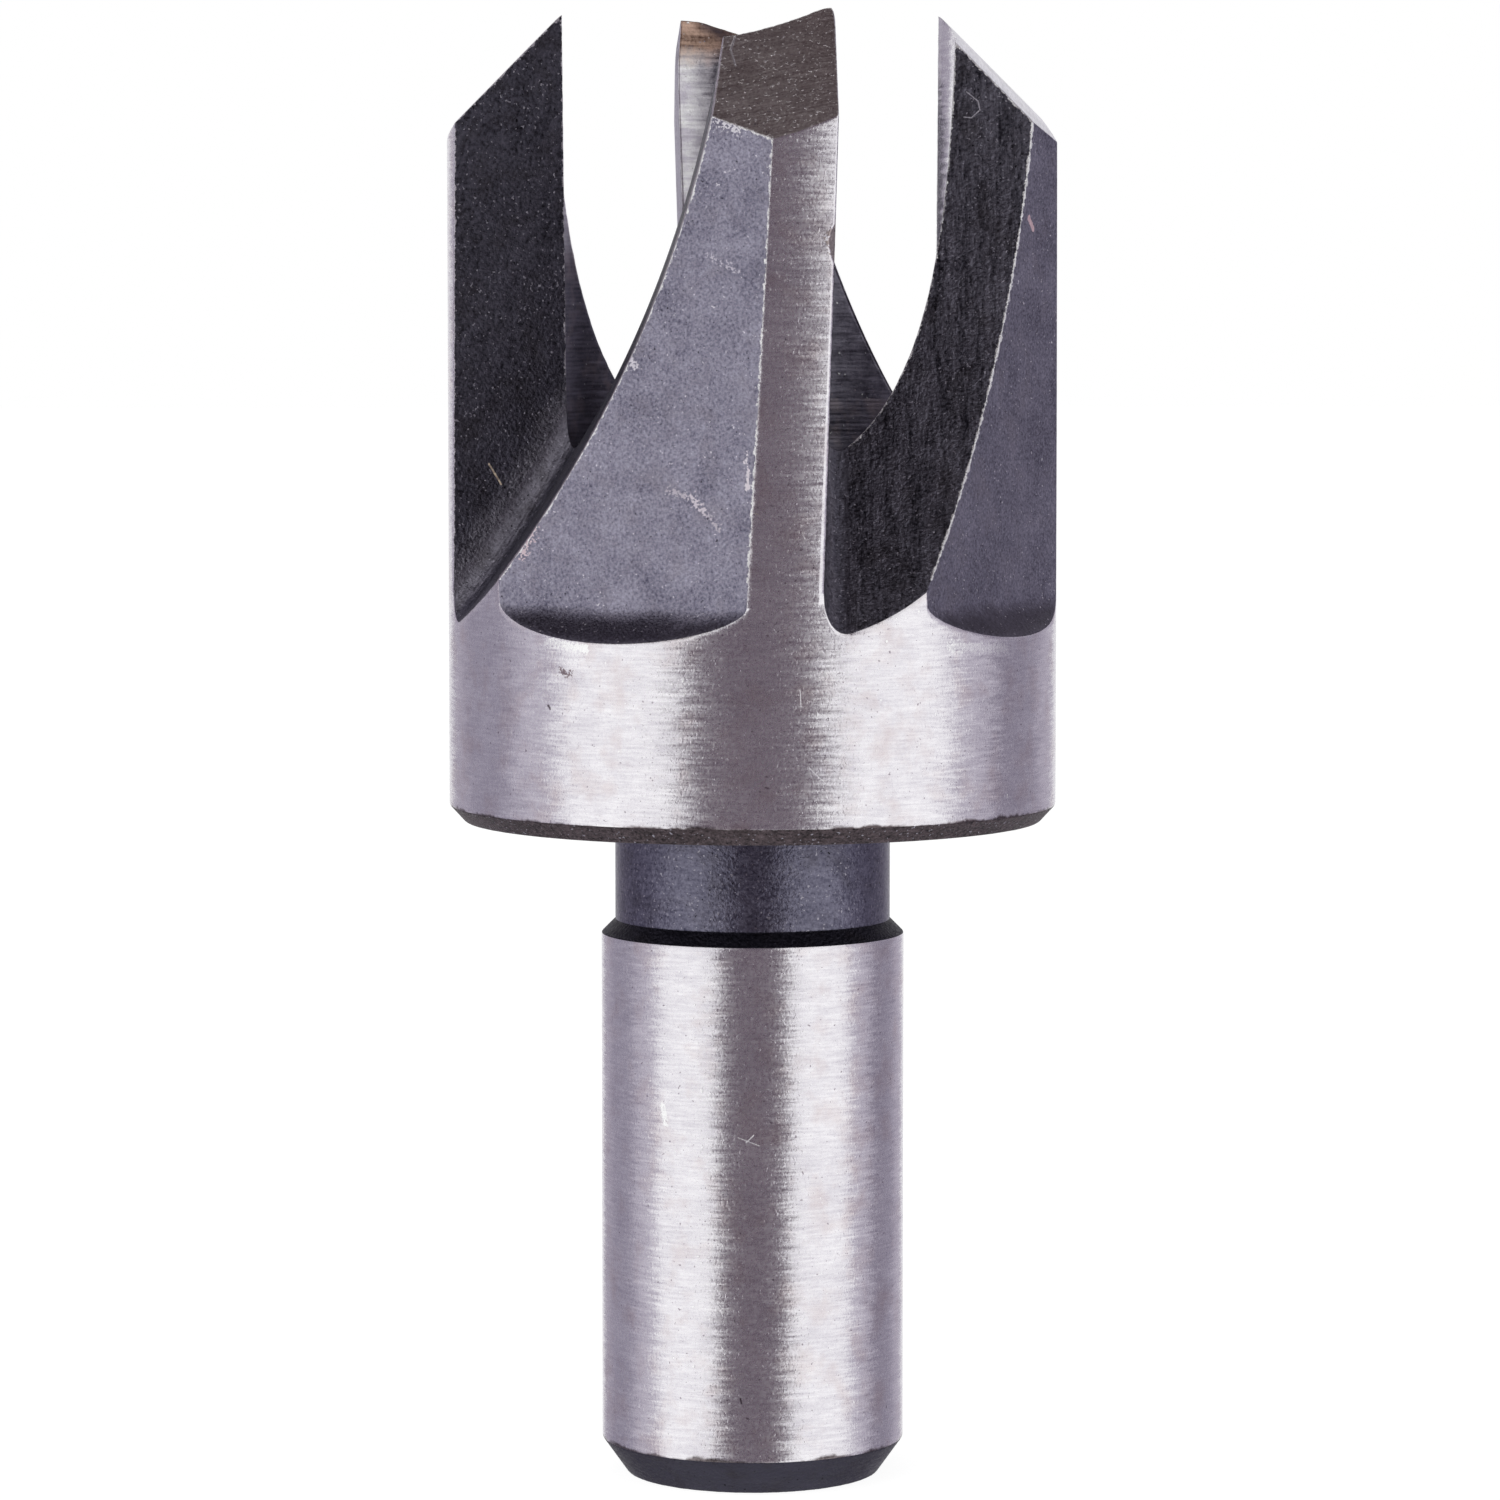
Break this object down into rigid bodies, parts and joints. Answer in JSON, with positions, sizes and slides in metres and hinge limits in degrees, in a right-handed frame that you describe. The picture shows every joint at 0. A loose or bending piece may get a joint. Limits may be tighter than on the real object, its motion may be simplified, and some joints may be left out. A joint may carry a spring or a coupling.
{
  "type": "plug cutter",
  "caption": "Claw plug cutter with a tapered bore and round shank, for cutting wooden plugs in a drill press.",
  "frame": {"origin": "middle of the shank's flat end, which the cutter stands on", "axes": "+Z along the tool's axis towards the claw tips; the claw on -Y has its cutting face towards +X"},
  "size_m": [0.024, 0.024, 0.0579],
  "materials": {
    "tool_steel": "ground bright on the turned faces, blackened and blasted in the slots"
  },
  "bodies": {
    "root": {"plug_cutter": "tool_steel"}
  },
  "joints": []
}
